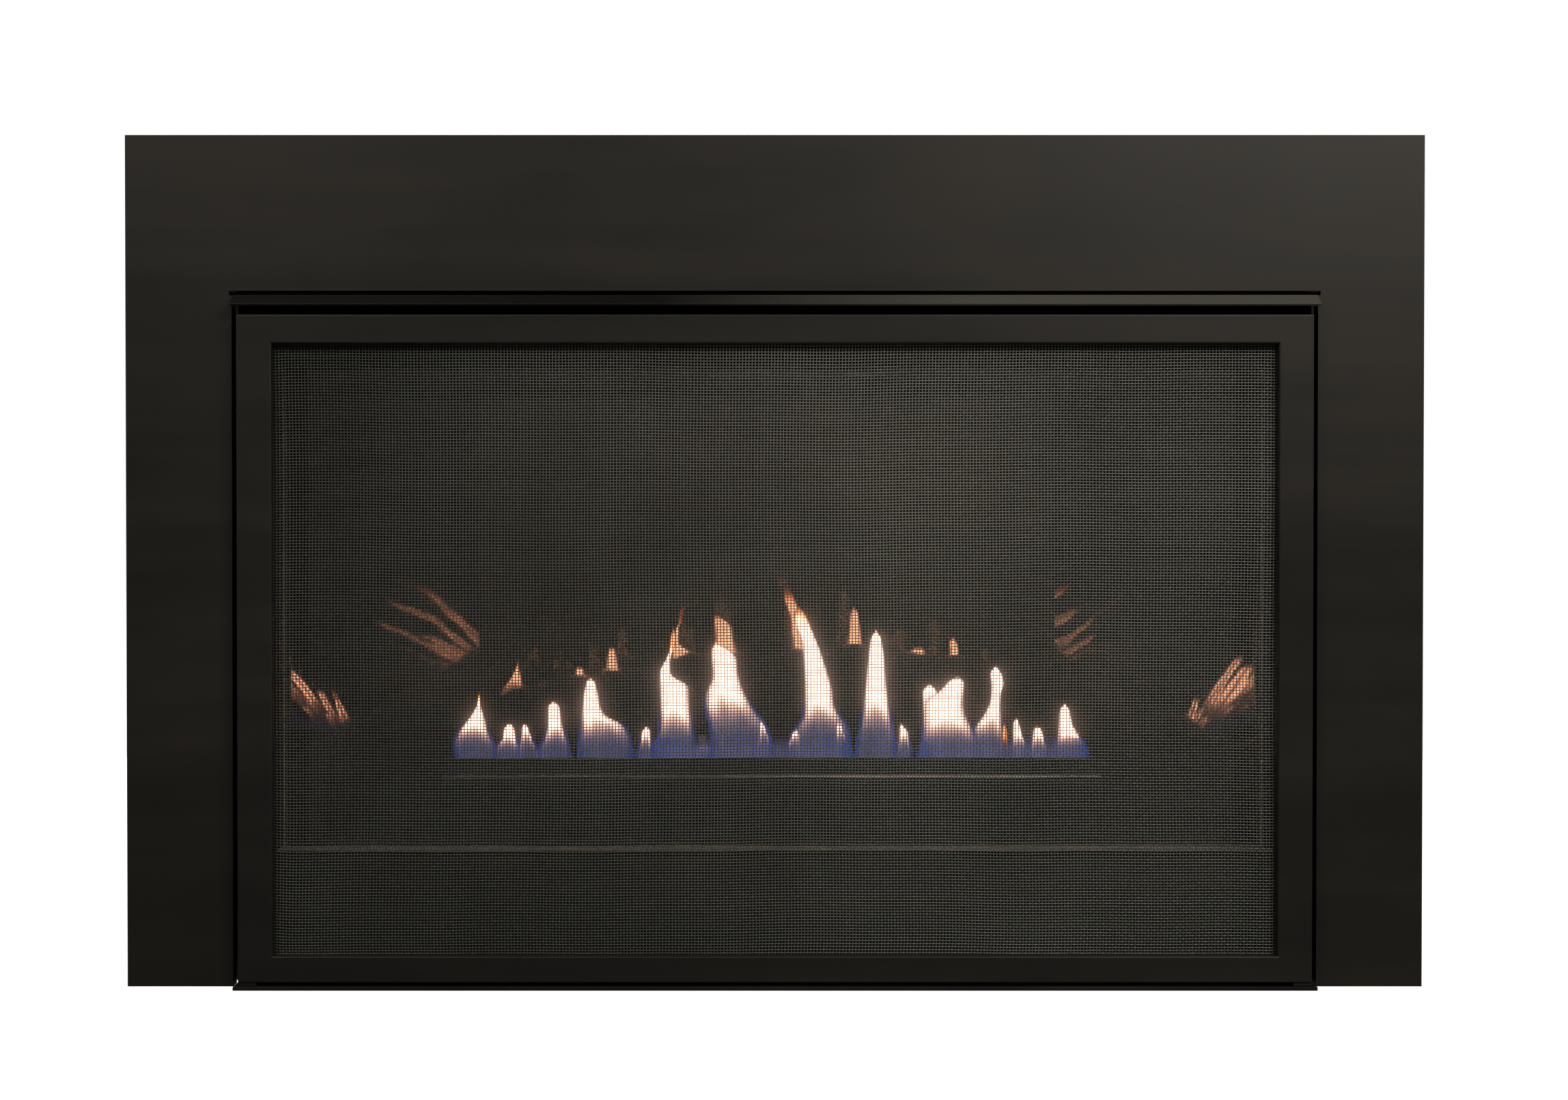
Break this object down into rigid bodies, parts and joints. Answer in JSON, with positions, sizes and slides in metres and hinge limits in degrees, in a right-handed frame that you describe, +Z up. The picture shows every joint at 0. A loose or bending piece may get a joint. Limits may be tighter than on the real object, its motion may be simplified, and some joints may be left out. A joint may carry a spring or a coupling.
{
  "type": "gas fireplace insert",
  "caption": "Direct-vent gas fireplace insert: flat dark surround, pull-off woven wire safety screen, sealed glass-fronted firebox with burner, gas controls, blower and flue collars.",
  "frame": {"origin": "on the hearth, on the centre line, in the plane of the wall that the surround stands against", "axes": "+X to the viewer's right, +Y into the wall, +Z up"},
  "size_m": [1.028, 0.4393, 0.675],
  "materials": {
    "surround_paint": "satin charcoal powder coat",
    "screen_paint": "satin charcoal powder coat",
    "screen_wire": "black coated woven wire",
    "black_steel": "matt heat resistant black",
    "galvanised_steel": "bright zinc, satin",
    "stainless_steel": "satin",
    "black_enamel": "glossy black porcelain enamel",
    "ceramic_glass": "clear, faint warm tint",
    "rope_gasket": "woven glass fibre rope",
    "brass": "machined",
    "cast_aluminium": "die cast, matt",
    "black_plastic": "fine grain",
    "red_plastic": "moulded",
    "white_ceramic": "unglazed"
  },
  "bodies": {
    "insert": {"surround_faceplate": "surround_paint", "hood": "surround_paint", "access_panel": "screen_paint", "base_pan": "black_steel", "glass_frame": "black_steel", "firebox_face": "black_steel", "firebox_floor": "black_steel", "firebox_top": "black_steel", "firebox_left": "black_steel", "firebox_right": "black_steel", "firebox_back": "black_steel", "burner_platform": "black_steel", "burner_tray": "black_steel", "blower_motor": "black_steel", "casing_left": "galvanised_steel", "casing_right": "galvanised_steel", "casing_back": "galvanised_steel", "casing_top": "galvanised_steel", "surround_bracket_left": "galvanised_steel", "surround_bracket_right": "galvanised_steel", "intake_collar": "galvanised_steel", "intake_duct": "galvanised_steel", "control_plate": "galvanised_steel", "blower_housing": "galvanised_steel", "mixing_tube": "stainless_steel", "pilot_burner": "stainless_steel", "thermopile": "stainless_steel", "exhaust_collar": "stainless_steel", "inlet_tube": "stainless_steel", "liner_left": "black_enamel", "liner_right": "black_enamel", "liner_back": "black_enamel", "glass_pane": "ceramic_glass", "glass_gasket": "rope_gasket", "gas_injector": "brass", "shutoff_valve": "brass", "gas_valve": "cast_aluminium", "manifold_tube": "cast_aluminium", "piezo_igniter": "black_plastic", "rocker_housing": "black_plastic", "power_inlet": "black_plastic", "spark_electrode": "white_ceramic"},
    "screen": {"screen_top_rail": "screen_paint", "screen_bottom_rail": "screen_paint", "screen_left_stile": "screen_paint", "screen_right_stile": "screen_paint", "screen_mesh": "screen_wire"},
    "levelling_bolt_left": {"levelling_bolt_left": "galvanised_steel"},
    "levelling_bolt_right": {"levelling_bolt_right": "galvanised_steel"},
    "pilot_spindle": {"pilot_spindle": "brass"},
    "pilot_knob": {"pilot_knob": "black_plastic"},
    "flame_knob": {"flame_knob": "black_plastic"},
    "piezo_button": {"piezo_button": "red_plastic"},
    "rocker_switch": {"rocker_switch": "black_plastic"},
    "shutoff_handle": {"shutoff_handle": "red_plastic"},
    "blower_wheel": {"blower_wheel": "galvanised_steel"},
    "air_shutter": {"air_shutter": "galvanised_steel"},
    "relief_door": {"relief_door": "black_steel"},
    "glass_latch_left": {"glass_latch_left": "galvanised_steel"},
    "glass_latch_right": {"glass_latch_right": "galvanised_steel"}
  },
  "joints": [
    {"name": "screen_pull", "type": "slide", "parent": "insert", "child": "screen", "axis": [0, -1, 0], "range_m": [0, 0.25]},
    {"name": "levelling_bolt_left_drive", "type": "slide", "parent": "insert", "child": "levelling_bolt_left", "axis": [0, 0, -1], "range_m": [0, 0.02]},
    {"name": "levelling_bolt_right_drive", "type": "slide", "parent": "insert", "child": "levelling_bolt_right", "axis": [0, 0, -1], "range_m": [0, 0.02]},
    {"name": "pilot_push", "type": "slide", "parent": "insert", "child": "pilot_spindle", "axis": [0, 1, 0], "range_m": [0, 0.004], "stiffness_N_per_m": 800, "springref_m": -0.002},
    {"name": "pilot_turn", "type": "hinge", "parent": "pilot_spindle", "child": "pilot_knob", "pos_m": [-0.317, 0.04, 0.0533], "axis": [0, -1, 0], "range_deg": [0, 180]},
    {"name": "flame_turn", "type": "hinge", "parent": "insert", "child": "flame_knob", "pos_m": [-0.273, 0.04, 0.0533], "axis": [0, -1, 0], "range_deg": [0, 150]},
    {"name": "piezo_press", "type": "slide", "parent": "insert", "child": "piezo_button", "axis": [0, 1, 0], "range_m": [0, 0.006], "stiffness_N_per_m": 700, "springref_m": -0.002},
    {"name": "rocker_tilt", "type": "hinge", "parent": "insert", "child": "rocker_switch", "pos_m": [-0.201, 0.0537, 0.0533], "axis": [1, 0, 0], "range_deg": [0, 16]},
    {"name": "shutoff_turn", "type": "hinge", "parent": "insert", "child": "shutoff_handle", "pos_m": [-0.38401, 0.12, 0.06], "axis": [0, 0, 1], "range_deg": [0, 90]},
    {"name": "blower_spin", "type": "hinge", "parent": "insert", "child": "blower_wheel", "pos_m": [0.06, 0.352, 0.046], "axis": [1, 0, 0], "continuous": true},
    {"name": "air_shutter_turn", "type": "hinge", "parent": "insert", "child": "air_shutter", "pos_m": [-0.177, 0.142, 0.128], "axis": [1, 0, 0], "range_deg": [0, 45]},
    {"name": "relief_lift", "type": "hinge", "parent": "insert", "child": "relief_door", "pos_m": [0.23, 0.179, 0.5113], "axis": [-1, 0, 0], "range_deg": [0, 28]},
    {"name": "glass_latch_left_pull", "type": "hinge", "parent": "insert", "child": "glass_latch_left", "pos_m": [-0.15, 0.0643, 0.07], "axis": [1, 0, 0], "range_deg": [0, 30]},
    {"name": "glass_latch_right_pull", "type": "hinge", "parent": "insert", "child": "glass_latch_right", "pos_m": [0.15, 0.0643, 0.07], "axis": [1, 0, 0], "range_deg": [0, 30]}
  ]
}
